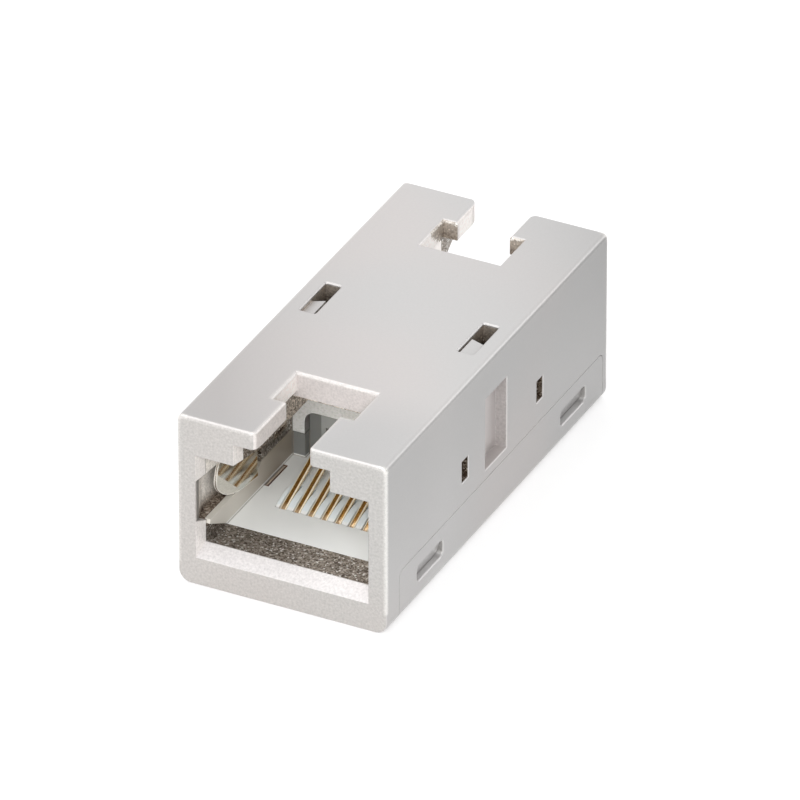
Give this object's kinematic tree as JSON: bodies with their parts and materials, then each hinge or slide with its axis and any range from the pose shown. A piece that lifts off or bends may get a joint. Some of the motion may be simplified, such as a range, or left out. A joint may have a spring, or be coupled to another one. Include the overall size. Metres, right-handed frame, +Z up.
{
  "type": "inline modular plug coupler",
  "caption": "Compact shielded inline coupler: a metal box with a modular plug port at each end and a T-shaped latch opening above each port.",
  "frame": {"origin": "middle of the underside, at the centre of the bounding box's base", "axes": "+Y along the coupler from the front port to the rear port, +X to the right seen from the front port, +Z up, with the latch openings on top"},
  "size_m": [0.0154, 0.0334, 0.013],
  "materials": {
    "housing": "satin nickel-plated zinc die casting",
    "carrier": "light grey moulded thermoplastic, slight gloss",
    "contact": "gold-plated phosphor bronze",
    "spring": "bright nickel-plated sheet",
    "board": "glass-epoxy laminate"
  },
  "bodies": {
    "root": {"upper_housing": "housing", "bottom_cover": "housing", "circuit_board": "board", "front_contact_carrier": "carrier", "rear_contact_carrier": "carrier", "front_contact_1": "contact", "front_contact_2": "contact", "front_contact_3": "contact", "front_contact_4": "contact", "front_contact_5": "contact", "front_contact_6": "contact", "front_contact_7": "contact", "front_contact_8": "contact", "front_ground_spring_left": "spring", "front_ground_spring_right": "spring", "rear_contact_1": "contact", "rear_contact_2": "contact", "rear_contact_3": "contact", "rear_contact_4": "contact", "rear_contact_5": "contact", "rear_contact_6": "contact", "rear_contact_7": "contact", "rear_contact_8": "contact", "rear_ground_spring_left": "spring", "rear_ground_spring_right": "spring"}
  },
  "joints": []
}
